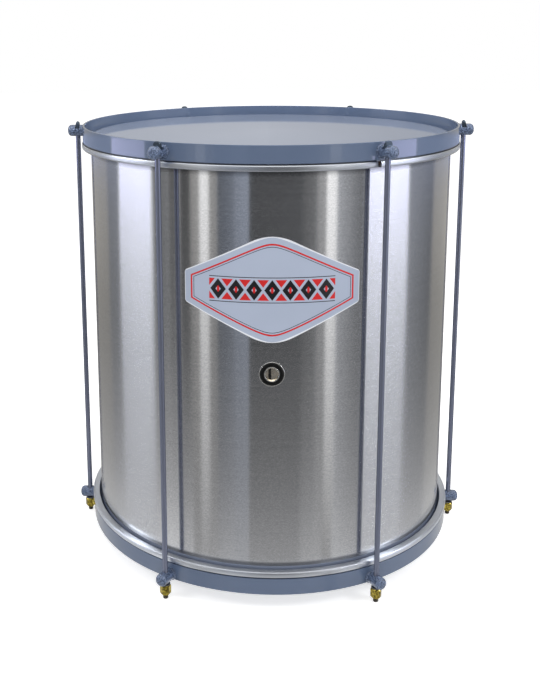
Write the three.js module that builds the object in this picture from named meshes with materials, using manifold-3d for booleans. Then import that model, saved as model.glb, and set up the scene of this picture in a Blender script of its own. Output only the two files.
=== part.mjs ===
// A surdo, the deep bass drum of a Brazilian percussion band, as an assembly of its real pieces.
// Millimetres, +Z up, the front of the drum faces -Y and the six rod tips stand on z = 0.
import * as THREE from 'three';
import { mergeVertices } from 'three/addons/utils/BufferGeometryUtils.js';
import Module from 'manifold-3d';

const wasm = await Module();
wasm.setup();

// Clearance left between pieces that touch on the real drum
const FIT_GAP = 0.3;

// Shell: one aluminium sheet rolled into a cylinder, its ends rolled in as bearing edges
const SHELL_DIAMETER = 508;
const SHELL_HEIGHT = 552;
const SHELL_SHEET = 1.2;
const BEARING_EDGE_RADIUS = 4;
const BEARING_LIP = 3;
const SEAM_LAP_WIDTH = 18;
const SEAM_LAP_THICKNESS = 1.2;
const SEAM_OVERLAP = 0.6;

// Vent eyelet, riveted through the front of the shell below the badge
const VENT_CLEAR_OF_BADGE = 17.9;
const EYELET_BORE = 18.6;
const EYELET_BARREL = 20.6;
const EYELET_FLANGE = 32.8;
const EYELET_FLANGE_RISE = 2;
const EYELET_FLANGE_RIM = 0.7;
const EYELET_BACK_FLANGE = 26;
const EYELET_BACK_THICKNESS = 1;

// Badge: a thin six-sided plate bent to the shell
const BADGE_WIDTH = 215;
const BADGE_SLOPES_MEET = 146;
const BADGE_APEX_ROUND = 29.4;
const BADGE_SIDE_EDGE = 40;
const BADGE_CORNER_ROUND = 3;
const BADGE_THICKNESS = 0.7;
const BADGE_BELOW_SHELL_TOP = 164.2;

// Heads: clear film whose edge is set in resin inside an aluminium channel, the flesh hoop
const HEAD_FILM = 0.5;
const FLESH_HOOP_WIDTH = 10.2;
const FLESH_HOOP_HEIGHT = 8.2;
const FLESH_HOOP_INNER_LIP = 1.5;
const FLESH_HOOP_TO_SHELL = 2.3;
const FLESH_HOOP_FACE_ROUND = 1.6;
const COLLAR_SLOPE = 50;
const FLESH_SLOT_WIDTH = 5;
const FLESH_SLOT_FLOOR = 1.8;
const RESIN_BELOW_CHANNEL = 0.8;

// Counterhoops: flat painted bar that presses each flesh hoop over its bearing edge
const HOOP_SET_IN = 1.5;
const HOOP_HEIGHT = 23;
const HOOP_BAR = 3;
const HOOP_ABOVE_HEAD = 13.5;
const HOOP_EDGE_CHAMFER = 0.6;

// Lugs: round bar ends welded to the counterhoops, drilled for the rods
const LUG_DIAMETER = 16.5;
const LUG_LENGTH = 24.5;
const LUG_DOME_LENGTH = 5.5;
const ROD_OUT_FROM_HOOP = 10.5;
const BOTTOM_LUG_RISE = 7;
const LUG_SLOT_RISE = 3.4;

// Tension rods with a flattened head, washers and long brass nuts
const ROD_DIAMETER = 7;
const ROD_TIP_CHAMFER = 0.8;
const ROD_TIP_PROTRUSION = 5.2;
const ROD_HEAD_WIDTH = 10;
const ROD_HEAD_THICKNESS = 6;
const ROD_HEAD_HEIGHT = 9.6;
const ROD_HEAD_ROUND = 4.2;
const ROD_HEAD_ROOT = 1;
const WASHER_DIAMETER = 13.6;
const WASHER_THICKNESS = 1.2;
const NUT_ACROSS_FLATS = 13;
const NUT_HEIGHT = 14.5;
const NUT_END_DIAMETER = 10;
const NUT_BOTTOM_TAPER = 2.8;
const NUT_TOP_TAPER = 1.8;

// Counts and angles
const ROD_COUNT = 6;
const FIRST_ROD_ANGLE = -30;
const ROD_SET_TURN = 0.9;
const FRONT_FEATURES_TURN = 1;
const RING_SIDES = 60;
const SMALL_SIDES = 14;
const EYELET_SIDES = 24;
const NUT_TURNED_SIDES = 12;
const CORNER_STEPS = 4;
const HEX_SIDES = 6;

// The dome on a lug's end as shares of its radius and length
const LUG_DOME_SHARES = [
  [1, 0],
  [0.95, 0.36],
  [0.74, 0.74],
  [0.4, 0.94],
  [0, 1],
];
const BEARING_ARC_SHARES = [0, 0.5, 1];

// Sizes that follow from the ones above
const shellRadius = SHELL_DIAMETER / 2;
const shellInner = shellRadius - SHELL_SHEET;
const fleshInner = shellRadius + FLESH_HOOP_TO_SHELL;
const fleshOuter = fleshInner + FLESH_HOOP_WIDTH;
const hoopOuter = fleshOuter - HOOP_SET_IN;
const rodCircle = hoopOuter + ROD_OUT_FROM_HOOP;
const boreRadius = ROD_DIAMETER / 2 + FIT_GAP;
const badgeHeight = SHELL_HEIGHT - BADGE_BELOW_SHELL_TOP;
const ventHeight = badgeHeight - BADGE_SLOPES_MEET / 2 - VENT_CLEAR_OF_BADGE - EYELET_FLANGE / 2;
const nutBottom = ROD_TIP_PROTRUSION;
const washerBottom = nutBottom + NUT_HEIGHT + FIT_GAP;
const bottomLugBase = washerBottom + WASHER_THICKNESS + FIT_GAP;
const bottomLugHeight = bottomLugBase + LUG_DIAMETER / 2;
const bottomHoopEdge = bottomLugHeight - BOTTOM_LUG_RISE;
const headRise = FIT_GAP + HEAD_FILM;
const shellBottom = bottomHoopEdge + HOOP_ABOVE_HEAD + headRise;
const shellTop = shellBottom + SHELL_HEIGHT;
const hoopRise = headRise + HOOP_ABOVE_HEAD;
const topLugHeight = shellTop + hoopRise - HOOP_HEIGHT / 2;
const slotFloorHeight = topLugHeight + LUG_SLOT_RISE;
const rodHeadBase = slotFloorHeight + FIT_GAP;
const facetSag = shellInner * (1 - Math.cos(Math.PI / RING_SIDES));

// Materials in the colours of the photograph
const PAINT = { color: 0x67718a, roughness: 0.35, metalness: 0.1 };
const ALUMINIUM = { color: 0xb9bbc0, roughness: 0.3, metalness: 1 };
const CHROME = { color: 0xd5d7da, roughness: 0.08, metalness: 1 };
const FILM = { color: 0xb4b9c4, roughness: 0.15, metalness: 0 };
const BRASS = { color: 0xa8893a, roughness: 0.25, metalness: 1 };
const DARK_STEEL = { color: 0x4a4c50, roughness: 0.4, metalness: 1 };
const LABEL = { color: 0xc3c8d2, roughness: 0.4, metalness: 0 };

function makeMesh(name, geometry, look) {
  geometry.computeVertexNormals();
  const mesh = new THREE.Mesh(geometry, new THREE.MeshStandardMaterial(look));
  mesh.name = name;
  return mesh;
}

// A geometry as a closed solid that can be joined and cut
function toSolid(geometry) {
  const bare = geometry.index ? geometry.toNonIndexed() : geometry.clone();
  bare.deleteAttribute('normal');
  bare.deleteAttribute('uv');
  const merged = mergeVertices(bare);
  const vertProperties = new Float32Array(merged.attributes.position.array);
  const triVerts = new Uint32Array(merged.index.array);
  return new wasm.Manifold(new wasm.Mesh({ numProp: 3, vertProperties, triVerts }));
}

function toGeometry(solid) {
  const data = solid.getMesh();
  const geometry = new THREE.BufferGeometry();
  geometry.setAttribute('position', new THREE.BufferAttribute(data.vertProperties, 3));
  geometry.setIndex(new THREE.BufferAttribute(data.triVerts, 1));
  return geometry.toNonIndexed();
}

// Turns a profile of [radius, height] points about the Z axis
function turned(profile, sides) {
  const points = profile.map(([radius, height]) => new THREE.Vector2(radius, height));
  return new THREE.LatheGeometry(points, sides).rotateX(Math.PI / 2);
}

function closed(profile) {
  return [...profile, profile[0]];
}

function rod(radius, bottom, top, sides) {
  return turned([[0, bottom], [radius, bottom], [radius, top], [0, top]], sides);
}

function at(object, x, y, z) {
  object.position.set(x, y, z);
  return object;
}

// Points on the rounded bearing edge at a distance outside it, measured from the shell's end plane
function bearingArc(offset, angle) {
  const reach = BEARING_EDGE_RADIUS + offset;
  return BEARING_ARC_SHARES.map((share) => [
    shellRadius - BEARING_EDGE_RADIUS + reach * Math.sin(angle * share),
    reach * Math.cos(angle * share) - BEARING_EDGE_RADIUS,
  ]);
}

// Half of the shell's section, from the outer wall round the rolled edge to the inner wall
function rolledEdge() {
  const outer = bearingArc(0, Math.PI / 2).reverse();
  const inner = bearingArc(-SHELL_SHEET, Math.PI / 2);
  const edgeStart = shellRadius - BEARING_EDGE_RADIUS;
  const lip = [
    [edgeStart - BEARING_LIP, -BEARING_LIP],
    [edgeStart - BEARING_LIP, -BEARING_LIP - SHELL_SHEET],
  ];
  return [...outer, ...lip, ...inner];
}

function shellSolid() {
  const topHalf = rolledEdge().map(([radius, height]) => [radius, SHELL_HEIGHT + height]);
  const bottomHalf = rolledEdge().map(([radius, height]) => [radius, -height]).reverse();
  const wall = toSolid(turned(closed([...bottomHalf, ...topHalf]), RING_SIDES));
  return wall.add(seamLap()).subtract(ventHole());
}

// The inner layer of the lapped seam, up the back of the shell
function seamLap() {
  const edgeRoom = BEARING_EDGE_RADIUS + BEARING_LIP;
  const depth = SEAM_LAP_THICKNESS + SEAM_OVERLAP;
  const lap = new THREE.BoxGeometry(SEAM_LAP_WIDTH, depth, SHELL_HEIGHT - edgeRoom * 2);
  const middle = shellInner - SEAM_LAP_THICKNESS + depth / 2;
  return toSolid(lap.translate(0, middle, SHELL_HEIGHT / 2));
}

// Turns a piece built facing -Y to its place round the drum
function aboutDrum(geometry, degrees) {
  return geometry.rotateZ(THREE.MathUtils.degToRad(degrees));
}

function ventHole() {
  const radius = EYELET_BARREL / 2 + FIT_GAP;
  const drill = rod(radius, shellRadius - EYELET_FLANGE, shellRadius + EYELET_FLANGE, EYELET_SIDES);
  drill.rotateX(Math.PI / 2).translate(0, 0, ventHeight);
  return toSolid(aboutDrum(drill, FRONT_FEATURES_TURN));
}

function makeShell() {
  return at(makeMesh('shell', toGeometry(shellSolid()), ALUMINIUM), 0, 0, shellBottom);
}

// The eyelet's section: front flange, barrel through the sheet, and the flange rolled over inside
function makeEyelet() {
  const bore = EYELET_BORE / 2;
  const barrel = EYELET_BARREL / 2;
  const flange = EYELET_FLANGE / 2;
  const back = EYELET_BACK_FLANGE / 2;
  const barrelWall = barrel - bore;
  const curveDepth = back ** 2 / (2 * shellInner);
  const backFace = -(SHELL_SHEET + curveDepth + facetSag + FIT_GAP);
  const profile = [
    [bore, backFace - EYELET_BACK_THICKNESS],
    [back, backFace - EYELET_BACK_THICKNESS],
    [back, backFace],
    [barrel, backFace],
    [barrel, FIT_GAP],
    [flange, FIT_GAP],
    [flange, FIT_GAP + EYELET_FLANGE_RIM],
    [flange - EYELET_FLANGE_RISE, EYELET_FLANGE_RISE],
    [barrel + barrelWall, EYELET_FLANGE_RISE],
    [bore, EYELET_FLANGE_RISE - barrelWall],
  ];
  const ring = turned(closed(profile), EYELET_SIDES).rotateX(Math.PI / 2);
  ring.translate(0, -shellRadius, 0);
  const eyelet = makeMesh('vent_eyelet', aboutDrum(ring, FRONT_FEATURES_TURN), CHROME);
  return at(eyelet, 0, 0, shellBottom + ventHeight);
}

// Rounds the corners of a flat outline given in order as [x, y, reach of the rounding]
function roundedShape(corners) {
  const points = corners.map(([x, y]) => new THREE.Vector2(x, y));
  const outline = [];
  points.forEach((corner, i) => {
    const before = points.at(i - 1);
    const after = points[(i + 1) % points.length];
    const reach = corners[i][2];
    const start = corner.clone().add(before.clone().sub(corner).setLength(reach));
    const end = corner.clone().add(after.clone().sub(corner).setLength(reach));
    outline.push(...new THREE.QuadraticBezierCurve(start, corner, end).getPoints(CORNER_STEPS));
  });
  return new THREE.Shape(outline);
}

// The badge: a thin ring just outside the shell, kept only inside the six-sided outline
function makeBadge() {
  const inner = shellRadius + FIT_GAP;
  const outer = inner + BADGE_THICKNESS;
  const low = badgeHeight - BADGE_SLOPES_MEET;
  const high = badgeHeight + BADGE_SLOPES_MEET;
  const section = closed([[inner, low], [outer, low], [outer, high], [inner, high]]);
  const ring = toSolid(turned(section, RING_SIDES));
  const side = BADGE_WIDTH / 2;
  const apex = BADGE_SLOPES_MEET / 2;
  const edge = BADGE_SIDE_EDGE / 2;
  const upperHalf = [
    [side, edge, BADGE_CORNER_ROUND],
    [0, apex, BADGE_APEX_ROUND],
    [-side, edge, BADGE_CORNER_ROUND],
  ];
  const lowerHalf = upperHalf.map(([x, y, reach]) => [-x, -y, reach]);
  const outline = roundedShape([...upperHalf, ...lowerHalf]);
  const cutter = new THREE.ExtrudeGeometry(outline, { depth: SHELL_DIAMETER, bevelEnabled: false });
  cutter.rotateX(Math.PI / 2).translate(0, 0, badgeHeight);
  const solid = ring.intersect(toSolid(aboutDrum(cutter, FRONT_FEATURES_TURN)));
  return at(makeMesh('front_badge', toGeometry(solid), LABEL), 0, 0, shellBottom);
}

// Heights of the flesh hoop, measured from the shell's end plane
const fleshTop = hoopRise - HOOP_HEIGHT - FIT_GAP;
const fleshBottom = fleshTop - FLESH_HOOP_HEIGHT;
const slotInner = fleshInner + FLESH_HOOP_INNER_LIP;
const slotOuter = slotInner + FLESH_SLOT_WIDTH;

// Where the film, leaving the bearing edge on a slope, reaches a given height
function collarReach(leave, height, angle) {
  const drop = leave[1] - height;
  return [leave[0] + drop / Math.tan(angle), height];
}

// A head: flat film, a collar that leaves the bearing edge at a tangent, and the resin-set edge
function headGeometry() {
  const resinTop = fleshTop - RESIN_BELOW_CHANNEL;
  const resinBottom = fleshBottom + FLESH_SLOT_FLOOR + FIT_GAP;
  const collarAngle = THREE.MathUtils.degToRad(COLLAR_SLOPE);
  const under = bearingArc(FIT_GAP, collarAngle);
  const over = bearingArc(headRise, collarAngle);
  const profile = [
    [0, FIT_GAP],
    ...under,
    collarReach(under.at(-1), resinTop, collarAngle),
    [slotInner + FIT_GAP, resinTop],
    [slotInner + FIT_GAP, resinBottom],
    [slotOuter - FIT_GAP, resinBottom],
    [slotOuter - FIT_GAP, resinTop],
    collarReach(over.at(-1), resinTop, collarAngle),
    ...over.reverse(),
    [0, headRise],
  ];
  return turned(profile, RING_SIDES);
}

// A flesh hoop: an upright channel with a rounded outer face
function fleshHoopGeometry() {
  const round = FLESH_HOOP_FACE_ROUND;
  const floor = fleshBottom + FLESH_SLOT_FLOOR;
  const profile = [
    [fleshInner, fleshBottom],
    [fleshOuter - round, fleshBottom],
    [fleshOuter, fleshBottom + round],
    [fleshOuter, fleshTop - round],
    [fleshOuter - round, fleshTop],
    [slotOuter, fleshTop],
    [slotOuter, floor],
    [slotInner, floor],
    [slotInner, fleshTop],
    [fleshInner, fleshTop],
  ];
  return turned(closed(profile), RING_SIDES);
}

// A counterhoop: flat bar on edge, rolled to a ring, its free edge eased
function hoopGeometry() {
  const inner = hoopOuter - HOOP_BAR;
  const low = hoopRise - HOOP_HEIGHT;
  const eased = hoopRise - HOOP_EDGE_CHAMFER;
  const profile = [
    [inner, low],
    [hoopOuter, low],
    [hoopOuter, eased],
    [hoopOuter - HOOP_EDGE_CHAMFER, hoopRise],
    [inner + HOOP_EDGE_CHAMFER, hoopRise],
    [inner, eased],
  ];
  return turned(closed(profile), RING_SIDES);
}

// One end of the drum, built upwards from the shell's end plane
function endSet(prefix) {
  const group = new THREE.Group();
  group.add(makeMesh(`${prefix}_head`, headGeometry(), FILM));
  group.add(makeMesh(`${prefix}_flesh_hoop`, fleshHoopGeometry(), ALUMINIUM));
  group.add(makeMesh(`${prefix}_hoop`, hoopGeometry(), PAINT));
  return group;
}

// A lug lying along -Y from the counterhoop, its centre line at height zero
function lugSolid() {
  const radius = LUG_DIAMETER / 2;
  const straight = LUG_LENGTH - LUG_DOME_LENGTH;
  const dome = LUG_DOME_SHARES.map(([out, along]) => [radius * out, straight + LUG_DOME_LENGTH * along]);
  const body = turned([[0, 0], [radius, 0], ...dome], SMALL_SIDES);
  body.rotateX(Math.PI / 2).translate(0, -hoopOuter - FIT_GAP, 0);
  const bore = rod(boreRadius, -LUG_DIAMETER, LUG_DIAMETER, SMALL_SIDES);
  return toSolid(body).subtract(toSolid(bore.translate(0, -rodCircle, 0)));
}

// The notch across a top lug that seats the rod's flattened head and keeps it from turning
function headNotch() {
  const across = ROD_HEAD_THICKNESS + FIT_GAP * 2;
  const notch = new THREE.BoxGeometry(LUG_DIAMETER * 2, across, LUG_DIAMETER);
  return toSolid(notch.translate(0, -rodCircle, LUG_SLOT_RISE + LUG_DIAMETER / 2));
}

// A tension rod: round bar, a chamfered tip and a flattened head, rounded on top
function rodSolid() {
  const radius = ROD_DIAMETER / 2;
  const shankTop = rodHeadBase + ROD_HEAD_ROOT;
  const profile = [
    [0, 0],
    [radius - ROD_TIP_CHAMFER, 0],
    [radius, ROD_TIP_CHAMFER],
    [radius, shankTop],
    [0, shankTop],
  ];
  const shank = toSolid(turned(profile, SMALL_SIDES).translate(0, -rodCircle, 0));
  const half = ROD_HEAD_WIDTH / 2;
  const shoulder = ROD_HEAD_HEIGHT - ROD_HEAD_ROUND;
  const outline = new THREE.Shape();
  outline.moveTo(half, 0);
  outline.lineTo(half, shoulder);
  outline.absellipse(0, shoulder, half, ROD_HEAD_ROUND, 0, Math.PI);
  outline.lineTo(-half, 0);
  const options = { depth: ROD_HEAD_THICKNESS, bevelEnabled: false, curveSegments: CORNER_STEPS };
  const head = new THREE.ExtrudeGeometry(outline, options).rotateX(Math.PI / 2);
  head.translate(0, ROD_HEAD_THICKNESS / 2 - rodCircle, rodHeadBase);
  return shank.add(toSolid(head));
}

function washerGeometry() {
  const outer = WASHER_DIAMETER / 2;
  const top = washerBottom + WASHER_THICKNESS;
  const profile = [[boreRadius, washerBottom], [outer, washerBottom], [outer, top], [boreRadius, top]];
  return turned(closed(profile), SMALL_SIDES).translate(0, -rodCircle, 0);
}

// A long hexagon nut with both ends turned down, drilled for the rod
function nutSolid() {
  const corner = NUT_ACROSS_FLATS / 2 / Math.cos(Math.PI / HEX_SIDES);
  const end = NUT_END_DIAMETER / 2;
  const top = nutBottom + NUT_HEIGHT;
  const bar = toSolid(rod(corner, nutBottom, top, HEX_SIDES));
  const envelope = [
    [0, nutBottom],
    [end, nutBottom],
    [corner, nutBottom + NUT_BOTTOM_TAPER],
    [corner, top - NUT_TOP_TAPER],
    [end + NUT_TOP_TAPER / 2, top],
    [0, top],
  ];
  const turnedBar = toSolid(turned(envelope, NUT_TURNED_SIDES));
  const bore = toSolid(rod(boreRadius, 0, top + NUT_HEIGHT, SMALL_SIDES));
  return bar.intersect(turnedBar).subtract(bore).translate([0, -rodCircle, 0]);
}

// One rod with its two lugs, washer and nut, all standing in front of the drum's axis
function station(number) {
  const group = new THREE.Group();
  const bottomLug = makeMesh(`bottom_lug_${number}`, toGeometry(lugSolid()), PAINT);
  const topLug = makeMesh(`top_lug_${number}`, toGeometry(lugSolid().subtract(headNotch())), PAINT);
  group.add(at(bottomLug, 0, 0, bottomLugHeight));
  group.add(at(topLug, 0, 0, topLugHeight));
  group.add(makeMesh(`tension_rod_${number}`, toGeometry(rodSolid()), PAINT));
  group.add(makeMesh(`washer_${number}`, washerGeometry(), DARK_STEEL));
  group.add(makeMesh(`tension_nut_${number}`, toGeometry(nutSolid()), BRASS));
  return group;
}

const surdo = new THREE.Group();
surdo.name = 'surdo';
surdo.add(makeShell(), makeEyelet(), makeBadge());

const topEnd = at(endSet('top'), 0, 0, shellTop);
const bottomEnd = at(endSet('bottom'), 0, 0, shellBottom);
bottomEnd.rotation.x = Math.PI;
surdo.add(topEnd, bottomEnd);

for (let index = 0; index < ROD_COUNT; index += 1) {
  const degrees = FIRST_ROD_ANGLE + ROD_SET_TURN + (360 / ROD_COUNT) * index;
  const rodStation = station(index + 1);
  rodStation.rotation.z = THREE.MathUtils.degToRad(degrees);
  surdo.add(rodStation);
}

export default surdo;
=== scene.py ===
# A surdo, the deep bass drum of a samba band: aluminium shell, painted hoops, brass nuts.
import math
import random

import bmesh
import bpy
from mathutils import Matrix, Vector


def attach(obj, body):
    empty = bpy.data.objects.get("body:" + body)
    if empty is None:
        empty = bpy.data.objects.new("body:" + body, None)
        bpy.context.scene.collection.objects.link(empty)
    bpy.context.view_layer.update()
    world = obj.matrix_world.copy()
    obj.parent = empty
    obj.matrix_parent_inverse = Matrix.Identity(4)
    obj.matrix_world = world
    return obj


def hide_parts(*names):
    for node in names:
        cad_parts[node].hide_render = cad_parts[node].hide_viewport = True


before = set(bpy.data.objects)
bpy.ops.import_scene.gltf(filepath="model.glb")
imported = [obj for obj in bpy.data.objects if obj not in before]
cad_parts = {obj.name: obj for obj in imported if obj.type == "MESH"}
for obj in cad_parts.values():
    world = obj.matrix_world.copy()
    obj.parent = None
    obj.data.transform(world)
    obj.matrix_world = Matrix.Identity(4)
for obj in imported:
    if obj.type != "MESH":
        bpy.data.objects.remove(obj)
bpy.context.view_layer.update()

# The studio: a white paper floor and surround, soft lamps, and a camera a little above
# the top hoop. Only mirrored rays meet the screens that stand round the drum, so that
# its bare metal has windows, walls and a grey floor to show.
scene = bpy.context.scene
scene.view_settings.view_transform = "Standard"
camera_data = bpy.data.cameras.new("camera")
camera_data.sensor_width = 36
camera_data.lens = 50.9
camera_data.shift_x, camera_data.shift_y = 0.0817, -0.1877
camera = bpy.data.objects.new("camera", camera_data)
scene.collection.objects.link(camera)
scene.camera = camera
camera_distance, camera_height = 1.416, 0.75
heading, dip, tilt = -0.0577, 0.2005, -0.0077
forward = Vector(
    (math.sin(heading) * math.cos(dip), math.cos(heading) * math.cos(dip), -math.sin(dip))
)
sideways = Vector((math.cos(heading), -math.sin(heading), 0))
upright = sideways.cross(forward)
camera_right = sideways * math.cos(tilt) + upright * math.sin(tilt)
camera_top = upright * math.cos(tilt) - sideways * math.sin(tilt)
facing = Matrix((camera_right, camera_top, -forward)).transposed().to_4x4()
camera.matrix_world = Matrix.Translation((0, -camera_distance, camera_height)) @ facing


class Value:
    """A shader node's output, on which arithmetic adds Math nodes."""

    def __init__(self, shader, socket):
        self.shader = shader
        self.socket = socket

    def math(self, operation, *operands):
        return self.shader.node(
            "ShaderNodeMath", {"operation": operation}, dict(enumerate(operands))
        )

    def __add__(self, other):
        return self.math("ADD", self, other)

    def __sub__(self, other):
        return self.math("SUBTRACT", self, other)

    def __rsub__(self, other):
        return self.math("SUBTRACT", other, self)

    def __mul__(self, other):
        return self.math("MULTIPLY", self, other)

    def __truediv__(self, other):
        return self.math("DIVIDE", self, other)

    def __abs__(self):
        return self.math("ABSOLUTE", self)

    def root(self):
        return self.math("SQRT", self)

    def __lt__(self, other):
        return self.math("LESS_THAN", self, other)

    def __gt__(self, other):
        return self.math("GREATER_THAN", self, other)

    __radd__ = __add__
    __rmul__ = __mul__


class Shader:
    """The nodes of a material or of the world."""

    def __init__(self, owner):
        owner.use_nodes = True
        self.tree = owner.node_tree
        self.tree.nodes.clear()

    def node(self, kind, settings=None, sockets=None, output=0):
        made = self.tree.nodes.new(kind)
        for name, value in (settings or {}).items():
            setattr(made, name, value)
        for name, value in (sockets or {}).items():
            if isinstance(value, Value):
                self.tree.links.new(value.socket, made.inputs[name])
            else:
                made.inputs[name].default_value = value
        return Value(self, made.outputs[output]) if len(made.outputs) else None

    def place(self, x=1.0, y=1.0, z=1.0):
        """The point on the piece in metres, with each direction scaled."""
        point = self.node("ShaderNodeTexCoord", output="Object")
        return self.node("ShaderNodeMapping", {}, {"Vector": point, "Scale": (x, y, z)})

    def axes(self):
        """The same point as three values in millimetres."""
        split = self.node("ShaderNodeSeparateXYZ", {}, {0: self.place(1000, 1000, 1000)})
        nodes = split.socket.node.outputs
        return [Value(self, nodes[index]) for index in range(3)]

    def noise(self, place, scale=1.0, detail=2.0):
        sockets = {"Vector": place, "Scale": scale, "Detail": detail}
        return self.node("ShaderNodeTexNoise", {}, sockets)

    def blend(self, share, first, second):
        """A colour between two, by a share from 0 to 1."""
        if not isinstance(first, Value):
            first = (*first, 1)
        if not isinstance(second, Value):
            second = (*second, 1)
        settings = {"data_type": "RGBA", "clamp_factor": True}
        return self.node("ShaderNodeMix", settings, {0: share, 6: first, 7: second}, output=2)

    def spread(self, value, low, high, least=0.0, most=1.0):
        """A value stretched from one range to another and kept inside it."""
        sockets = {0: value, 1: low, 2: high, 3: least, 4: most}
        return self.node("ShaderNodeMapRange", {"clamp": True}, sockets)

    def relief(self, height, depth):
        """A normal for a height from 0 to 1 that stands a depth in millimetres."""
        return self.node("ShaderNodeBump", {}, {"Height": height, "Distance": depth / 1000})

    def finish(self, sockets):
        surface = self.node("ShaderNodeBsdfPrincipled", {}, sockets)
        self.node("ShaderNodeOutputMaterial", {}, {"Surface": surface})


def seen_directly(shader):
    """1 for the camera's rays and for those that metal or glass sends on, 0 for others."""
    kinds = ("Is Camera Ray", "Is Glossy Ray", "Is Transmission Ray")
    rays = [shader.node("ShaderNodeLightPath", output=kind) for kind in kinds]
    return rays[0] + rays[1] + rays[2]


def srgb(red, green, blue):
    """A colour as read from a screen, 0 to 255, as the light it stands for."""
    shares = [level / 255 for level in (red, green, blue)]
    return tuple(s / 12.92 if s <= 0.04045 else ((s + 0.055) / 1.055) ** 2.4 for s in shares)


def object_from(name, build):
    """An object of the mesh that was built, its faces all turned outwards."""
    bmesh.ops.remove_doubles(build, verts=build.verts, dist=1e-7)
    bmesh.ops.recalc_face_normals(build, faces=build.faces)
    mesh = bpy.data.meshes.new(name)
    build.to_mesh(mesh)
    build.free()
    made = bpy.data.objects.new(name, mesh)
    scene.collection.objects.link(made)
    return made


def turned(name, profile, steps, ring=True):
    """A profile of (radius, height) points in millimetres, turned about the Z axis.
    A ring's profile closes on itself; any other starts and ends where it says."""
    build = bmesh.new()
    columns = []
    for step in range(steps):
        angle = 2 * math.pi * step / steps
        sine, cosine = math.sin(angle), math.cos(angle)
        spots = [(r * sine / 1000, -r * cosine / 1000, z / 1000) for r, z in profile]
        columns.append([build.verts.new(spot) for spot in spots])
    spans = len(profile) if ring else len(profile) - 1
    for step, column in enumerate(columns):
        beside = columns[(step + 1) % steps]
        for low in range(spans):
            high = (low + 1) % len(profile)
            build.faces.new((column[low], beside[low], beside[high], column[high]))
    return object_from(name, build)


world = bpy.data.worlds.new("white_surround")
scene.world = world
surround = Shader(world)
ambient = 0.62
strength = ambient + (1 - ambient) * seen_directly(surround)
white = {"Color": (1, 1, 1, 1), "Strength": strength}
light = surround.node("ShaderNodeBackground", {}, white)
surround.node("ShaderNodeOutputWorld", {}, {"Surface": light})

floor_edge = 9000
floor = turned("floor", [(0, 0), (400, 0), (floor_edge, 0)], steps=64, ring=False)
paper = bpy.data.materials.new("white_paper")
shader = Shader(paper)
shader.finish(
    {
        "Base Color": (0.95, 0.95, 0.95, 1),
        "Roughness": 1.0,
        "Specular IOR Level": 0.0,
        "Emission Color": shader.blend(seen_directly(shader), (0, 0, 0), (0.6, 0.6, 0.6)),
        "Emission Strength": 1.0,
    }
)
floor.data.materials.append(paper)

# The screens stand in a ring, and between two of them the light passes evenly from one to
# the other. Each has the first and last line up the drum that mirrors it, in degrees from
# the front, its light at either, its warmth, and how bright the floor before it is.
screens = [
    (-180, -150, 0.53, 0.51, -0.2, 1.0),
    (-120, -86, 0.48, 0.46, -0.2, 1.0),
    (-78, -58, 0.37, 0.33, 0.7, 1.4),
    (-56, -50.6, 0.22, 0.26, -0.5, 1.5),
    (-49.2, -35.4, 0.90, 1.03, -0.5, 1.2),
    (-34.4, -29.2, 0.12, 0.23, -0.2, 1.9),
    (-28.6, -26.8, 0.12, 0.11, 0, 1.9),
    (-26.4, -25.6, 0.42, 0.40, 0, 1.3),
    (-25.2, -22.6, 0.07, 0.09, 0, 1.5),
    (-21.9, -19.6, 0.33, 0.40, 0.3, 0.8),
    (-19.2, -16.9, 1.08, 1.04, 0.1, 0.6),
    (-16.4, -14.4, 0.34, 0.32, 0.2, 1.0),
    (-13.9, -10, 0.13, 0.21, -1.6, 1.2),
    (-9, -5.6, 0.30, 0.36, -1.6, 1.1),
    (-5.1, 8.6, 0.08, 0.095, -0.4, 1.0),
    (10, 12.6, 0.14, 0.18, -0.2, 1.2),
    (13.9, 15.6, 0.40, 0.36, 0, 1.1),
    (16.1, 18.6, 1.22, 1.14, 0.1, 0.4),
    (19.2, 27.3, 0.48, 0.13, -0.4, 1.3),
    (27.8, 43, 1.04, 1.06, -0.5, 1.15),
    (44.2, 56, 0.32, 0.16, -0.6, 1.35),
    (58, 78, 0.34, 0.45, 0.7, 1.5),
    (86, 120, 0.34, 0.37, -0.2, 1.0),
    (150, 180, 0.45, 0.51, -0.2, 1.0),
]
# Windows and strip lamps on the screens: the first and last line that mirrors them, the
# heights of sill and lintel, and the colour
screen_lamps = [
    (-49.2, -35.4, 80, 190, (2.7, 2.7, 4.0)),
    (27.8, 43, 80, 190, (3.0, 3.0, 4.5)),
    (-80, -50, 80, 190, (0.36, 0.42, 0.62)),
    (44, 80, 80, 190, (0.36, 0.42, 0.62)),
    (-48, -38, 900, 2000, (0.9, 0.9, 1.0)),
    (30, 40, 900, 2000, (0.9, 0.9, 1.0)),
    (-48, -40, 2020, 2600, (13, 13.5, 14)),
    (32, 40, 2020, 2600, (13, 13.5, 14)),
]
# The floor from the drum out to the screens: how far off, the share of the screen's light
# that its gloss shows there, and its own grey
floor_light = [
    (0, 0.08, 0.52),
    (120, 0.17, 0.40),
    (300, 0.28, 0.27),
    (550, 0.40, 0.19),
    (900, 0.47, 0.12),
    (1300, 0.60, 0.07),
    (2200, 0.90, 0.06),
    (3500, 0.95, 0.06),
]
screen_rows = [40, 70, 80, 190, 210, 880, 900, 2000, 2020, 2600]
warm_light = (0.08, 0.02, -0.10)
mirror_radius, camera_reach = 254.0, 1000 * camera_distance


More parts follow.
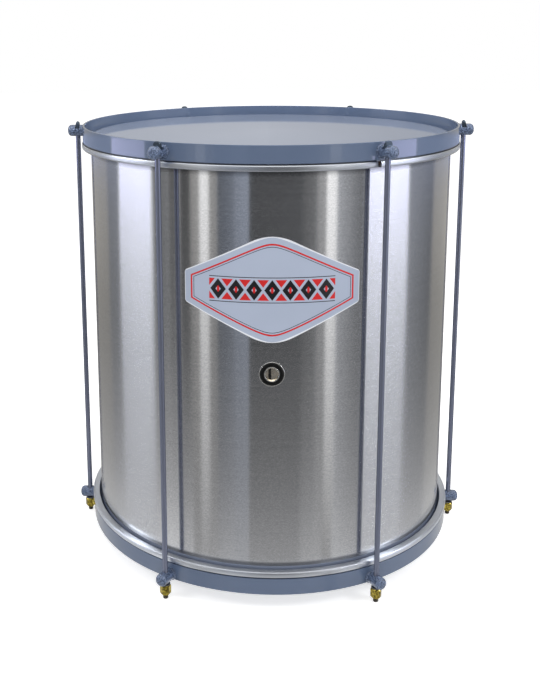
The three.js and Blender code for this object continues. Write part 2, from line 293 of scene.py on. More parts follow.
def screen_at(angle):
    """The screen's colour for one line up the drum, and how bright the floor before it is."""
    marks = []
    for first, last, start, stop, *rest in screens:
        marks += [(first, start, *rest), (last, stop, *rest)]
    for (low, *before), (high, *after) in zip(marks, marks[1:]):
        if angle <= high:
            share = (angle - low) / (high - low)
            level, warmth, near = [a + (b - a) * share for a, b in zip(before, after)]
            return [level * (1 + warmth * tint) for tint in warm_light], near


def line_of_sight(angle, far):
    """Where the camera, mirrored in the drum's wall at an angle, looks that far away."""
    turn = math.radians(angle)
    x, y = mirror_radius * math.sin(turn), -mirror_radius * math.cos(turn)
    edge = math.acos(mirror_radius / camera_reach)
    seen = max(-edge, min(edge, turn))
    foot = mirror_radius * math.sin(seen), mirror_radius * math.cos(seen)
    heading = 2 * seen + math.atan2(foot[0], camera_reach - foot[1])
    beyond = (abs(turn) - edge) / (math.pi - edge)
    if beyond > 0:
        heading += math.copysign(beyond * (math.pi - abs(heading)), turn)
    return x + far * math.sin(heading), y - far * math.cos(heading)


screen_steps, clear_of_floor = 1440, 0.0004
mirrored = bmesh.new()
spot_light = mirrored.verts.layers.float_color.new("light")
columns = []
for step in range(screen_steps + 1):
    angle = 360 * step / screen_steps - 180
    own, near = screen_at(angle)
    column = []
    for far, share, grey in floor_light:
        x, y = line_of_sight(angle, far)
        spot = mirrored.verts.new((x / 1000, y / 1000, clear_of_floor))
        spot[spot_light] = (*[near * grey * (1 - share) + part * share for part in own], 1)
        column.append(spot)
    for height in screen_rows:
        spot = mirrored.verts.new((x / 1000, y / 1000, height / 1000))
        spot[spot_light] = (*own, 1)
        for first, last, sill, lintel, colour in screen_lamps:
            if first <= angle <= last and sill <= height <= lintel:
                spot[spot_light] = (*colour, 1)
        column.append(spot)
    columns.append(column)
for column, beside in zip(columns, columns[1:]):
    for low in range(len(column) - 1):
        mirrored.faces.new((column[low], beside[low], beside[low + 1], column[low + 1]))
mesh = bpy.data.meshes.new("mirrored_room")
mirrored.to_mesh(mesh)
room = bpy.data.objects.new("mirrored_room", mesh)
scene.collection.objects.link(room)
lit = bpy.data.materials.new("screen_light")
shader = Shader(lit)
screen_light = shader.node("ShaderNodeAttribute", {"attribute_name": "light"})
glow = shader.node("ShaderNodeEmission", {}, {"Color": screen_light})
shader.node("ShaderNodeOutputMaterial", {}, {"Surface": glow})
room.data.materials.append(lit)
room.visible_camera = False
room.visible_diffuse = False
room.visible_transmission = False
room.visible_shadow = False


def soft_lamp(name, place, width, power, target=(0, 0, 0.35)):
    """A square softbox that lights the drum but isn't mirrored in it."""
    lamp_data = bpy.data.lights.new(name, "AREA")
    lamp_data.size = width
    lamp_data.energy = power
    lamp = bpy.data.objects.new(name, lamp_data)
    lamp.location = place
    lamp.visible_glossy = False
    aim = Vector(target) - Vector(place)
    lamp.rotation_euler = aim.to_track_quat("-Z", "Y").to_euler()
    scene.collection.objects.link(lamp)


soft_lamp("left_softbox", (-2.3, -1.1, 2.2), 0.9, 17)
soft_lamp("right_softbox", (2.3, -1.1, 2.2), 0.9, 22)
soft_lamp("high_softbox", (0, -0.15, 1.9), 0.5, 9)
soft_lamp("low_softbox", (0.3, -2.4, 0.9), 0.8, 6, (0, 0, 0.3))

# Shell: one sheet of brushed aluminium rolled to a cylinder, lapped and riveted up the
# back, with both ends rolled in as rounded bearing edges. The vent is punched through
# its front.
wall_radius, wall_sheet = 254.0, 1.2
wall_foot, wall_head = 37.05, 589.05
edge_round, edge_lip = 4.0, 3.0
front_turn = 1.0
vent_height, vent_radius, vent_band, punch_from, punch_to = 317.55, 10.6, 12, 240, 270
lap_edge, inner_joint = -9.0, 2.6
rivet_count, first_rivet, rivet_step = 10, 28, 55.1


def arc(radius, middle, rise, start, end, steps=8):
    """Points round a circle's arc in a profile; 0 degrees points up and 90 outwards."""
    angles = [math.radians(start + (end - start) * step / steps) for step in range(steps + 1)]
    return [(middle + radius * math.sin(a), rise + radius * math.cos(a)) for a in angles]


def end_of_wall():
    """The profile of a rolled end, each point's height counted from the end's plane."""
    middle = wall_radius - edge_round
    lip = middle - edge_lip
    outer = arc(edge_round, middle, -edge_round, 90, 0)
    inner = arc(edge_round - wall_sheet, middle, -edge_round, 0, 90)
    return [*outer, (lip, -edge_lip), (lip, -edge_lip - wall_sheet), *inner]


def bar(name, radius, low, high, sides):
    """A plain bar about the Z axis between two heights, to cut or to cut with."""
    profile = [(0, low), (radius, low), (radius, high), (0, high)]
    return turned(name, profile, steps=sides, ring=False)


def carve(piece, cutter, operation="DIFFERENCE"):
    """Cuts one mesh by another for good, and throws the cutter away."""
    change = piece.modifiers.new("carve", "BOOLEAN")
    change.operation = operation
    change.solver = "EXACT"
    change.object = cutter
    shape = piece.evaluated_get(bpy.context.evaluated_depsgraph_get())
    piece.data = bpy.data.meshes.new_from_object(shape)
    piece.modifiers.clear()
    bpy.data.objects.remove(cutter)


def tip(piece, way=1):
    """Tips a mesh over so that its top faces the front, or with -1 the drum's middle."""
    piece.data.transform(Matrix.Rotation(math.radians(90 * way), 4, "X"))
    return piece


def settle(piece, degrees, y=0.0, z=0.0):
    """Puts a mesh made at the origin, facing the front, in its place round the drum."""
    move = Matrix.Translation((0, y / 1000, z / 1000))
    piece.data.transform(Matrix.Rotation(math.radians(degrees), 4, "Z") @ move)
    return piece


def dress(piece, material, body, replaced=(), crease=35):
    """Shades a finished mesh, gives it its material and fixes it to its body."""
    piece.data.materials.clear()
    piece.data.materials.append(material)
    piece.data.shade_smooth()
    piece.data.set_sharp_from_angle(angle=math.radians(crease))
    even = piece.modifiers.new("even_shading", "WEIGHTED_NORMAL")
    even.keep_sharp = True
    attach(piece, body)
    if replaced:
        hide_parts(*replaced)


top_end = [(r, wall_head + rise) for r, rise in end_of_wall()]
bottom_end = [(r, wall_foot - rise) for r, rise in reversed(end_of_wall())]
rows = [vent_height - vent_band, vent_height + vent_band]
inside = [(wall_radius - wall_sheet, row) for row in reversed(rows)]
outside = [(wall_radius, row) for row in rows]
shell_wall = turned("shell_wall", [*bottom_end, *outside, *top_end, *inside], steps=288)
punch = tip(bar("punch", vent_radius, punch_from, punch_to, sides=64))
carve(shell_wall, settle(punch, front_turn, z=vent_height))

brushed = bpy.data.materials.new("brushed_aluminium")
shader = Shader(brushed)
x, y, z = shader.axes()
grain = shader.noise(shader.place(6, 6, 520), 1.0, 3.0)
hairs = shader.noise(shader.place(14, 14, 2100), 1.0, 2.0)
speckle = shader.noise(shader.place(420, 420, 700), 1.0, 2.0)
clouds = shader.noise(shader.place(4, 4, 7), 1.0, 3.0)
within = (x * x + y * y).root() < wall_radius - wall_sheet / 2
back = y > 0
lap = shader.spread(x, lap_edge - 0.2, lap_edge + 0.2) * back
lap_shade = (abs(x - lap_edge) < 0.45) * back
joint_shade = within * (abs(x - inner_joint) < 2.4) * back
tone = shader.spread(grain * 0.14 + hairs * 0.12 + speckle * 0.64 + clouds * 0.1, 0.34, 0.66)
metal = shader.blend(tone, (0.68, 0.69, 0.71), (0.86, 0.86, 0.88))
# Painted shade darkens the shell beside both flesh hoops, where shade falls
# Painted shade: a dark band below the top flesh hoop and above the bottom one
top_painted_shade, foot_painted_shade = shader.spread(z, 563.5, 571.5), shader.spread(z, 63.5, 60.5)
# The gap behind the lower flesh hoop is painted a pale blue-grey with less metal: painted
# shade, the shaded head film as seen there
dust_and_gap_shade = shader.spread(z, 57.6, 56.4) * (1 - within)
metal = shader.blend(0.8 * top_painted_shade + 0.7 * foot_painted_shade, metal, (0.06, 0.065, 0.08))
metal = shader.blend(dust_and_gap_shade, metal, (0.26, 0.30, 0.40))
metal = shader.blend(within, metal, (0.62, 0.59, 0.53))
shader.finish(
    {
        "Base Color": shader.blend(lap_shade + joint_shade, metal, (0.05, 0.05, 0.05)),
        "Metallic": 1 - 0.8 * dust_and_gap_shade,
        "Roughness": 0.12 + 0.04 * grain + 0.04 * speckle,
        "Anisotropic": 1.0,
        "Anisotropic Rotation": 0.25,
        "Normal": shader.relief(speckle * 0.004 + lap, 0.3),
    }
)
dress(shell_wall, brushed, "drum", ["shell"])

rivet_head = [(0, 1.15), (1.2, 1.05), (2.2, 0.75), (2.9, 0.3), (3.1, -0.4), (0, -0.4)]
rivets = bmesh.new()
for number in range(rivet_count):
    rivet = tip(turned("rivet", rivet_head, steps=20, ring=False))
    settle(rivet, 180, y=-wall_radius, z=wall_foot + first_rivet + number * rivet_step)
    rivets.from_mesh(rivet.data)
    bpy.data.objects.remove(rivet)
rivets = object_from("seam_rivets", rivets)
pressed = bpy.data.materials.new("rivet_aluminium")
shader = Shader(pressed)
spots = shader.noise(shader.place(), 700, 3.0)
shader.finish(
    {
        "Base Color": shader.blend(spots, (0.55, 0.56, 0.58), (0.74, 0.74, 0.76)),
        "Metallic": 1.0,
        "Roughness": 0.25 + 0.2 * spots,
        "Normal": shader.relief(spots, 0.02),
    }
)
dress(rivets, pressed, "drum")

# Vent eyelet: a brass eyelet set through the wall and rolled over inside, its two rims
# polished nickel and the swelling flange between them coloured near-black, a painted
# reflection of the dark room in front.
flange_inner, flange_outer = 9.72, 14.98
rim_beads = [
    (8.4, -2.9), (8.7, -3.18), (12.7, -3.18), (13, -2.9), (13, -2.4), (12.7, -2.18),
    (10.3, -2.18), (10.3, 0.3), (15.7, 0.3), (15.95, 0.45), (16.0, 0.75), (15.9, 1.05),
    (15.65, 1.24), (15.35, 1.28), (15.1, 1.2), (14.95, 1.05), (14.8, 1.12), (14.2, 1.5),
    (13.4, 1.8), (12.4, 1.97), (11.4, 1.97), (10.4, 1.84), (9.9, 1.66), (9.75, 1.5),
    (9.65, 1.68), (9.45, 1.86), (9.15, 1.92), (8.85, 1.86), (8.55, 1.62), (8.4, 1.2),
]
vent_ring = tip(turned("vent_ring", rim_beads, steps=96))
settle(vent_ring, front_turn, y=-wall_radius, z=vent_height)

nickel = bpy.data.materials.new("nickel_and_painted_reflection")
shader = Shader(nickel)
x, y, z = shader.axes()
lean = math.radians(front_turn)
across = x * math.cos(lean) + y * math.sin(lean)
rise = z - vent_height
reach = (across * across + rise * rise).root()
# Painted reflection: the flange gets a near-black with little metal, for the dark room it
# mirrors
black = (reach > flange_inner) * (reach < flange_outer) * (y < -250)
wear = shader.noise(shader.place(), 420, 4.0)
scuffed = shader.spread(wear, 0.62, 0.72, 0.0, 0.5)
painted_dark_reflection = shader.blend(scuffed, (0.003, 0.003, 0.003), (0.03, 0.029, 0.027))
shader.finish(
    {
        "Base Color": shader.blend(black, (0.74, 0.73, 0.70), painted_dark_reflection),
        "Metallic": 1 - 0.8 * black,
        "Roughness": 0.14 + 0.2 * black + 0.1 * wear,
        "Normal": shader.relief(wear, 0.01),
    }
)
dress(vent_ring, nickel, "drum", ["vent_eyelet"])

# Badge: a six-sided plate of thin printed sheet with soft points above and below, bent
# to the wall and glued, and printed with a plain band of lozenges inside a red line.
badge_half, badge_edge, badge_meet = 107.5, 20.0, 73.0
badge_height, badge_face, badge_back = 424.85, 255.0, 254.3
side_round, point_round, bend_step = 3, 29.4, 3
band_half, band_rise, cell = 77, 13, 22.0


def softened(corners, steps):
    """A closed outline in millimetres, each corner given with the reach of its rounding."""
    outline = []
    for index, (x, y, reach) in enumerate(corners):
        corner = Vector((x, y))
        before = (Vector(corners[index - 1][:2]) - corner).normalized() * reach + corner
        after = Vector(corners[(index + 1) % len(corners)][:2]) - corner
        after = after.normalized() * reach + corner
        for step in range(steps + 1 if reach else 1):
            share = step / steps
            first, second = before.lerp(corner, share), corner.lerp(after, share)
            outline.append(first.lerp(second, share))
    return outline


upper = [
    (badge_half, badge_edge, side_round), (0, badge_meet, point_round),
    (-badge_half, badge_edge, side_round),
]
plate = bmesh.new()
points = softened([*upper, *[(-x, -y, reach) for x, y, reach in upper]], steps=12)
plate.faces.new([plate.verts.new((p.x, 0, p.y)) for p in points])
for slice_at in range(-105, 106, bend_step):
    bmesh.ops.bisect_plane(
        plate,
        geom=[*plate.verts, *plate.edges, *plate.faces],
        plane_co=(slice_at, 0, 0),
        plane_no=(1, 0, 0),
    )
behind = bmesh.ops.extrude_face_region(plate, geom=list(plate.faces))["geom"]
behind = [item for item in behind if isinstance(item, bmesh.types.BMVert)]
for vert in plate.verts:
    radius = badge_back if vert in behind else badge_face
    vert.co.y = -math.sqrt(radius**2 - vert.co.x**2)
    vert.co /= 1000
badge_plate = settle(object_from("badge_plate", plate), front_turn, z=badge_height)

printed = bpy.data.materials.new("printed_badge")
shader = Shader(printed)
x, y, z = shader.axes()
across = abs(x * math.cos(lean) + y * math.sin(lean))
rise = abs(z - badge_height)
slope = math.atan2(badge_meet - badge_edge, badge_half)
soft_point = (across * across + 13.2**2).root()
inset = soft_point * math.sin(slope) + rise * math.cos(slope) - badge_meet * math.cos(slope)
inset = inset.math("MAXIMUM", inset, across - badge_half)
red_line = (inset > -9.4) * (inset < -7.4)
thin_line = (inset > -11.6) * (inset < -10.9)
from_lozenge = abs(across.math("FRACT", across / cell + 0.5) - 0.5) * cell
lozenge = from_lozenge / 9.6 + rise / band_rise < 1
heart = from_lozenge / 3.2 + rise / 4.4 < 1
wedge = (cell / 2 - from_lozenge) * 1.35 < rise - 3.4
inside_band = (across < band_half) * (rise < band_rise)
black = inside_band * lozenge * (1 - heart) + thin_line
hearts = inside_band * heart * (from_lozenge < 1.6)
red = inside_band * wedge * (1 - lozenge) + red_line + hearts
rules = (rise > band_rise + 2.2) * (rise < band_rise + 3.2) * (across < band_half)
fleck = shader.noise(shader.place(), 1500, 2.0)
fade = shader.noise(shader.place(9, 9, 9), 1.0, 3.0)
ground = shader.blend(fade, srgb(160, 170, 190), srgb(176, 186, 206))
inked = shader.blend(fleck, srgb(196, 8, 10), srgb(214, 22, 20))
face = shader.blend(red, ground, inked)
face = shader.blend(black + rules, face, (0.008, 0.008, 0.011))
cut_edge = inset > -0.7
shader.finish(
    {
        "Base Color": shader.blend(cut_edge, face, srgb(226, 229, 236)),
        "Roughness": 0.34 + 0.1 * fleck,
        "Coat Weight": 0.25,
        "Coat Roughness": 0.15,
        "Normal": shader.relief(0.7 * (red + black + rules) + 0.3 * fleck, 0.02),
    }
)
dress(badge_plate, printed, "drum", ["front_badge"])

# Heads: clear film with a milky haze, heat-formed with a collar that leaves the bearing
# edge on a slope, its rim set in brown resin inside the flesh hoop's channel.
film_gap, film_top, film_flat, collar = 0.3, 0.8, 200, 50
resin_top, resin_foot, resin_inner, resin_outer = -9.8, -15.1, 258.5, 262.5
ends = (("top", wall_head, 1), ("bottom", wall_foot, -1))


def collar_foot(leave):
    """Where the collar comes down to the resin, from the point where it leaves the edge."""
    radius, height = leave
    return (radius + (height - resin_top) / math.tan(math.radians(collar)), resin_top)


under = arc(edge_round + film_gap, wall_radius - edge_round, -edge_round, 0, collar)
over = arc(edge_round + film_top, wall_radius - edge_round, -edge_round, collar, 0)
film_section = [
    (0, film_gap), (film_flat, film_gap), *under, collar_foot(under[-1]),
    (resin_inner, resin_top), (resin_inner, resin_foot),
    (resin_outer, resin_foot), (resin_outer, resin_top),
    collar_foot(over[0]), *over, (film_flat, film_top), (0, film_top),
]

film = bpy.data.materials.new("hazy_film")
shader = Shader(film)
x, y, z = shader.axes()
haze = shader.noise(shader.place(4, 4, 4), 1.0, 4.0)
dust_and_gap_shade = shader.noise(shader.place(), 1300, 2.0)
scuffs = shader.noise(shader.place(14, 14, 14), 1.0, 6.0)
reach = (x * x + y * y).root()
worn = shader.spread(reach, 170, 20) * shader.spread(scuffs, 0.45, 0.7)
milky = shader.blend(haze, srgb(131, 141, 162), srgb(144, 153, 171))
shader.finish(
    {
        "Base Color": shader.blend(0.12 * worn + 0.05 * dust_and_gap_shade, milky, srgb(200, 204, 212)),
        "Roughness": 0.05 + 0.07 * worn + 0.02 * dust_and_gap_shade,
        "Normal": shader.relief(haze + 0.02 * worn, 0.05),
    }
)
resin = bpy.data.materials.new("brown_resin")
shader = Shader(resin)
swirl = shader.noise(shader.place(), 90, 3.0)
shader.finish(
    {
        "Base Color": shader.blend(swirl, (0.035, 0.022, 0.015), (0.08, 0.05, 0.03)),
        "Roughness": 0.4 + 0.2 * swirl,
        "Normal": shader.relief(swirl, 0.1),
    }
)
for end, plane, way in ends:
    section = [(radius, plane + way * height) for radius, height in film_section]
    head = turned(f"{end}_film", section, steps=288, ring=False)
    dress(head, film, "drum", [f"{end}_head"])
    head.data.materials.append(resin)
    for face in head.data.polygons:
        rise = (face.center.z * 1000 - plane) * way
        face.material_index = int(rise < resin_top + 0.2)

# Flesh hoops: extruded aluminium channel, its outer face slightly swelled, bent to a
# ring that holds each head's rim and closed with a butt joint left open by a few
# millimetres.
channel = [
    (257.2, -17.2, 0.6), (265.2, -17.2, 0.6), (266.2, -15.8, 0.9), (266.5, -13.2, 1.0),
    (266.2, -10.7, 0.7), (265.4, -9.8, 0.5), (263.8, -9.8, 0.2), (263.4, -8.4, 0.2),
    (262.8, -8.4, 0.2), (262.8, -15.4, 0.4), (258.2, -15.4, 0.3), (258.2, -9.0, 0.3),
    (257.2, -9.0, 0.3),
]
joint_turn = {"top": 29.9, "bottom": 158.0}
joint_gap, joint_cut, joint_radius, joint_depth = 4.8, 20, 262, 13
wall_middle = (wall_foot + wall_head) / 2


def block(name, length, width, height):
    """A plain box about the origin, in millimetres, to cut with."""
    build = bmesh.new()
    bmesh.ops.create_cube(build, size=0.001)
    made = object_from(name, build)
    made.data.transform(Matrix.Diagonal((length, width, height, 1)))
    return made


drawn = bpy.data.materials.new("drawn_aluminium")
shader = Shader(drawn)
lines = shader.noise(shader.place(9, 9, 1500), 1.0, 2.0)
dull = shader.noise(shader.place(30, 30, 30), 1.0, 4.0)
x, y, z = shader.axes()
reach = (x * x + y * y).root()
from_middle = abs(z - wall_middle)
# Painted shade: the channel's edge in the crevice under the counterhoop is darkened nearly to
# black
crevice_painted_shade = shader.spread(reach, 265.4, 264.7) * (from_middle > 264.6)
# Painted shade: the face towards the drum's middle is darkened a little towards blue-grey, for
# the shade and dark room it would show
closed_side_painted_shade = from_middle < 259.6
metal = shader.blend(lines * 0.5 + dull * 0.5, (0.78, 0.82, 0.89), (0.92, 0.95, 1.0))
metal = shader.blend(0.2 * closed_side_painted_shade, metal, (0.16, 0.18, 0.24))
shader.finish(
    {
        "Base Color": shader.blend(0.9 * crevice_painted_shade, metal, (0.03, 0.035, 0.05)),
        "Metallic": 1.0,
        "Roughness": 0.3 + 0.1 * dull,
        "Anisotropic": 0.3,
        "Anisotropic Rotation": 0.25,
        "Normal": shader.relief(lines, 0.006),
    }
)
for end, plane, way in ends:
    section = [(point.x, plane + way * point.y) for point in softened(channel, steps=4)]
    flesh_hoop = turned(f"{end}_channel", section, steps=288)
    gap = block("gap", joint_gap, joint_cut, joint_cut)
    settle(gap, joint_turn[end], y=-joint_radius, z=plane - way * joint_depth)
    carve(flesh_hoop, gap)
    dress(flesh_hoop, drawn, "drum", [f"{end}_flesh_hoop"])

# Counterhoops: flat steel bar rolled on edge and welded to a ring, its free edge eased,
# with a plug weld behind each lug, all under blue-grey gloss enamel.
hoop_outer, hoop_inner, hoop_low, hoop_rim = 265.0, 262.0, -8.1, 14.3
rod_turns = [-29.1 + 60 * number for number in range(6)]
lug_heights = {"top": 591.85, "bottom": 29.75}
plug_weld = [(0, 0.5), (2.0, 0.42), (3.6, 0.22), (4.8, 0.0), (5.0, -0.3)]
hoop_bar = [
    (hoop_inner, hoop_low, 0.4), (hoop_outer, hoop_low, 0.6),
    (hoop_outer, hoop_rim, 0.8), (hoop_inner, hoop_rim, 0.8),
]

enamel = bpy.data.materials.new("blue_grey_enamel")
shader = Shader(enamel)
peel = shader.noise(shader.place(), 330, 2.0)
drift = shader.noise(shader.place(7, 7, 7), 1.0, 3.0)
chips = shader.spread(shader.noise(shader.place(), 95, 6.0), 0.73, 0.76)
x, y, z = shader.axes()
# Painted light: the inner face gets a lighter enamel than the outer, for the light the head
# throws back on it; the enamel is the same on both
inner_face_painted_light = shader.spread((x * x + y * y).root(), 263.6, 262.6)
outer_paint = shader.blend(drift, srgb(87, 102, 128), srgb(94, 110, 137))
paint = shader.blend(inner_face_painted_light, outer_paint, srgb(98, 115, 144))
shader.finish(
    {
        "Base Color": shader.blend(chips * 0.6, paint, srgb(120, 128, 142)),
        "Roughness": 0.28 + 0.1 * drift,
        "Coat Weight": 1.0,
        "Coat Roughness": 0.04,
        "Normal": shader.relief(peel - chips, 0.008),
    }
)
for end, plane, way in ends:
    section = [(point.x, plane + way * point.y) for point in softened(hoop_bar, steps=4)]
    hoop = turned(f"{end}_bar_hoop", section, steps=288)
    shape = bmesh.new()
    shape.from_mesh(hoop.data)
    for degrees in rod_turns:
        weld = tip(turned("weld", plug_weld, steps=32, ring=False), way=-1)
        settle(weld, degrees, y=-hoop_inner, z=lug_heights[end])
        shape.from_mesh(weld.data)
        bpy.data.objects.remove(weld)
    bpy.data.objects.remove(hoop)
    hoop = object_from(f"{end}_bar_hoop", shape)
    dress(hoop, enamel, "drum", [f"{end}_hoop"])

# Lugs: round bar ends with a domed tip, welded to the hoops under the same enamel and
# drilled for the rods. A notch across each upper lug keeps its rod's head from turning.
lug_radius, lug_straight, lug_dome, lug_start = 8.25, 19.0, 5.5, 265.3
rod_circle, rod_bore, bore_reach = 275.5, 3.8, 20
notch_width, notch_floor, notch_length, notch_cut = 6.6, 3.4, 40, 20
weld_bead = [(9.7, -0.5), (9.6, 0.3), (9.1, 1.0), (8.5, 1.6), (8.25, 2.3)]
dome = [math.radians(90 * step / 12) for step in range(12)]
dome = [(lug_radius * math.cos(a) ** 0.8, lug_straight + lug_dome * math.sin(a)) for a in dome]
lug_profile = [(0, -0.5), *weld_bead, *dome, (0, lug_straight + lug_dome)]

lumpy = bpy.data.materials.new("enamel_over_rough_bar")
shader = Shader(lumpy)
lumps = shader.noise(shader.place(), 520, 2.0)
pits = shader.noise(shader.place(), 1100, 2.0)
raised = shader.spread(lumps, 0.38, 0.62)
shader.finish(
    {
        "Base Color": shader.blend(raised, srgb(66, 80, 106), srgb(126, 143, 176)),
        "Metallic": 0.4,
        "Roughness": 0.2 + 0.1 * pits,
        "Coat Weight": 1.0,
        "Coat Roughness": 0.05,
        "Normal": shader.relief(lumps + 0.4 * pits, 1.8),
    }
)
for number, degrees in enumerate(rod_turns, 1):
    for end, height in lug_heights.items():
        lug = turned(f"{end}_bar_lug_{number}", lug_profile, steps=56, ring=False)
        # The bead is ground flat above, level with the top of the bar
        for vert in lug.data.vertices:
            vert.co.y = min(vert.co.y, lug_radius / 1000)
        settle(tip(lug), 0, y=-lug_start)
        bore = bar("bore", rod_bore, -bore_reach, bore_reach, sides=32)
        carve(lug, settle(bore, 0, y=-rod_circle))
        if end == "top":
            notch = block("notch", notch_length, notch_width, notch_cut)
            carve(lug, settle(notch, 0, y=-rod_circle, z=notch_floor + notch_cut / 2))
        settle(lug, degrees, z=height)
        dress(lug, lumpy, "drum", [f"{end}_lug_{number}"])

# Tension rods: long steel rods under the same enamel, with a flattened, rounded head
# that drops into the notch and a bare cut thread at the foot.
rod_radius, thread_top, pitch, thread_depth, tip_chamfer = 3.5, 36.0, 1.0, 0.5, 0.5
head_base, head_half, head_thick, head_shoulder, head_round = 595.55, 5.3, 6.0, 5.4, 4.1
head_taper, taper_from, taper_height, head_bevel, head_shade = 0.42, 1.5, 6, 0.9, 594.5

steel = bpy.data.materials.new("dark_thread_steel")
shader = Shader(steel)
stain = shader.noise(shader.place(), 500, 4.0)
shader.finish(
    {
        "Base Color": shader.blend(stain, (0.04, 0.032, 0.025), (0.15, 0.14, 0.12)),
        "Metallic": 0.9,
        "Roughness": 0.38 + 0.2 * stain,
        "Normal": shader.relief(stain, 0.03),
    }
)

polished = bpy.data.materials.new("smooth_dark_enamel")
shader = Shader(polished)
flow = shader.noise(shader.place(60, 60, 12), 1.0, 3.0)
x, y, z = shader.axes()
shank_paint = shader.blend(flow, (0.20, 0.22, 0.30), (0.27, 0.29, 0.38))
shader.finish(
    {
        "Base Color": shader.blend(z > head_shade, shank_paint, (0.10, 0.13, 0.17)),
        "Metallic": 0.7,
        "Specular Tint": (0.45, 0.5, 0.6, 1),
        "Roughness": 0.1 + 0.06 * flow,
        "Normal": shader.relief(flow, 0.05),
    }
)


def threaded_end(name, sides=32, rows_per_turn=6):
    """The foot of a rod with a right-hand thread, its tip chamfered."""
    build = bmesh.new()
    rows = []
    for row in range(int(thread_top * rows_per_turn) + 1):
        height = row * pitch / rows_per_turn
        crest = min(rod_radius, rod_radius - tip_chamfer + height)
        ring = []
        for side in range(sides):
            share = (height / pitch - side / sides) % 1
            depth = thread_depth * min(1, 1.25 * (1 - abs(2 * share - 1)))
            radius = crest - depth * min(1, height + 0.2)
            angle = 2 * math.pi * side / sides
            point = (radius * math.sin(angle), -radius * math.cos(angle), height)
            ring.append(build.verts.new([value / 1000 for value in point]))
        rows.append(ring)
    for low, high in zip(rows, rows[1:]):
        for side in range(sides):
            beside = (side + 1) % sides
            build.faces.new((low[side], low[beside], high[beside], high[side]))
    build.faces.new(rows[0])
    build.faces.new(rows[-1])
    return object_from(name, build)


shank_profile = [
    (0, thread_top - 0.5), (rod_radius - 0.4, thread_top - 0.5), (rod_radius, thread_top),
    (rod_radius, head_base + 1), (0, head_base + 1),
]
head_outline = [(head_half, 0), (head_half, head_shoulder)]
for step in range(1, 16):
    angle = math.pi * step / 16
    side = math.copysign(head_half * abs(math.cos(angle)) ** 0.75, math.cos(angle))
    head_outline.append((side, head_shoulder + head_round * math.sin(angle)))
head_outline += [(-head_half, head_shoulder), (-head_half, 0)]
for number, degrees in enumerate(rod_turns, 1):
    shank = turned("shank", shank_profile, steps=32, ring=False)
    shape = bmesh.new()
    cheek = [shape.verts.new((x / 1000, head_thick / 2000, z / 1000)) for x, z in head_outline]
    cheek = shape.faces.new(cheek)
    grown = bmesh.ops.extrude_face_region(shape, geom=[cheek])["geom"]
    for item in grown:
        if isinstance(item, bmesh.types.BMVert):
            item.co.y -= head_thick / 1000
    for vert in shape.verts:
        above = max(0, vert.co.z * 1000 - taper_from)
        vert.co.y *= 1 - head_taper * min(1, above / taper_height)
    edges = [edge for edge in shape.edges if edge.calc_face_angle(0) > 1]
    bmesh.ops.bevel(shape, geom=edges, offset=head_bevel / 1000, segments=3, affect="EDGES")
    shape.transform(Matrix.Translation((0, 0, head_base / 1000)))
    shape.from_mesh(shank.data)
    bpy.data.objects.remove(shank)
    rod = settle(object_from(f"rod_{number}", shape), degrees, y=-rod_circle)
    dress(rod, polished, "drum", [f"tension_rod_{number}"])
    thread = settle(threaded_end(f"rod_thread_{number}"), degrees, y=-rod_circle)
    dress(thread, steel, "drum", crease=60)

# Washers and nuts: a stamped steel washer and a long hexagon nut, cut from drawn brass
# bar and turned down at both ends, screw up each rod under the lower lugs.
nut_low, nut_high, nut_flats, nut_end = 5.2, 19.7, 13.0, 5.0
nut_bottom_taper, nut_top_taper, nut_shoulder, nut_lathe = 2.8, 1.8, 5.9, 1
washer_low, washer_high, washer_radius = 20, 21.2, 6.4
washer = [
    (rod_bore, washer_low, 0.2), (washer_radius, washer_low, 0.35),
    (washer_radius, washer_high, 0.5), (rod_bore, washer_high, 0.3),
]

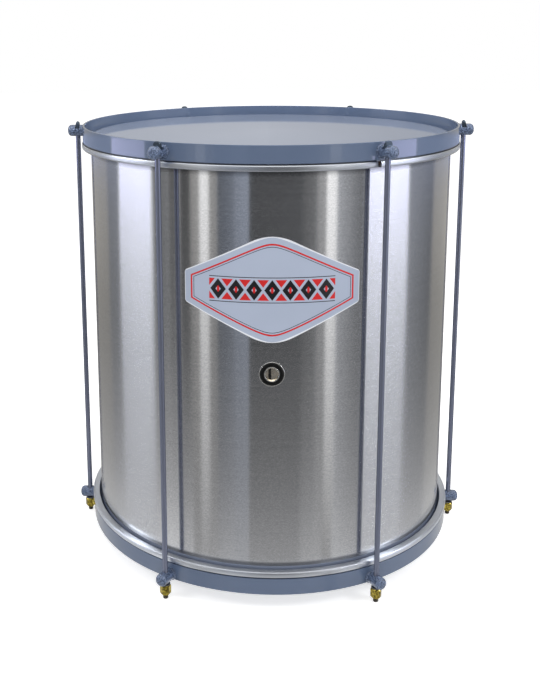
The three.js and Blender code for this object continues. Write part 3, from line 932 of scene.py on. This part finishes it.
zinc = bpy.data.materials.new("dull_zinc")
shader = Shader(zinc)
bloom = shader.noise(shader.place(), 350, 4.0)
shader.finish(
    {
        "Base Color": shader.blend(bloom, (0.15, 0.15, 0.16), (0.30, 0.30, 0.31)),
        "Metallic": 1.0,
        "Roughness": 0.35 + 0.2 * bloom,
        "Normal": shader.relief(bloom, 0.02),
    }
)
brass = bpy.data.materials.new("machined_brass")
shader = Shader(brass)
drawn_lines = shader.noise(shader.place(2600, 2600, 60), 1.0, 2.0)
tarnish = shader.noise(shader.place(), 420, 4.0)
fingered = shader.spread(tarnish, 0.40, 0.58)
shader.finish(
    {
        "Base Color": shader.blend(fingered, (0.62, 0.50, 0.10), (0.17, 0.125, 0.02)),
        "Metallic": 1.0,
        "Roughness": 0.05 + 0.08 * fingered,
        "Normal": shader.relief(drawn_lines, 0.01),
    }
)
random.seed(6)
corner = nut_flats / 2 / math.cos(math.pi / 6)
turned_down = [
    (0, nut_low - nut_lathe), (nut_end - 0.4, nut_low - nut_lathe), (nut_end - 0.4, nut_low),
    (nut_end, nut_low + 0.4), (nut_end, nut_low + 1.2), (corner, nut_low + nut_bottom_taper),
    (corner, nut_high - nut_top_taper), (nut_shoulder, nut_high),
    (nut_shoulder, nut_high + nut_lathe), (0, nut_high + nut_lathe),
]
for number, degrees in enumerate(rod_turns, 1):
    section = [(point.x, point.y) for point in softened(washer, steps=3)]
    ring = settle(turned(f"washer_ring_{number}", section, steps=48), degrees, y=-rod_circle)
    dress(ring, zinc, f"washer_{number}", [f"washer_{number}"])
    nut = bar(f"long_nut_{number}", corner, nut_low, nut_high, sides=6)
    carve(nut, turned("envelope", turned_down, steps=72, ring=False), "INTERSECT")
    carve(nut, bar("bore", rod_bore, 0, 2 * nut_high, sides=40))
    ease = nut.modifiers.new("eased_edges", "BEVEL")
    ease.width = 0.0003
    ease.segments = 2
    ease.angle_limit = math.radians(25)
    settle(nut, random.uniform(-9, 9))
    settle(nut, degrees, y=-rod_circle)
    dress(nut, brass, f"nut_{number}", [f"tension_nut_{number}"])

# Daylight inside the drum comes through the hazy heads and lights the wall that shows
# through the vent. The film is opaque here, so a soft disc under the top head gives it.
daylight = bpy.data.lights.new("light_through_head", "AREA")
daylight.shape = "DISK"
daylight.size = 0.42
daylight.energy = 1.3
daylight.color = (1.0, 0.93, 0.82)
inside_lamp = bpy.data.objects.new("light_through_head", daylight)
inside_lamp.location = (0, 0, 0.58)
scene.collection.objects.link(inside_lamp)
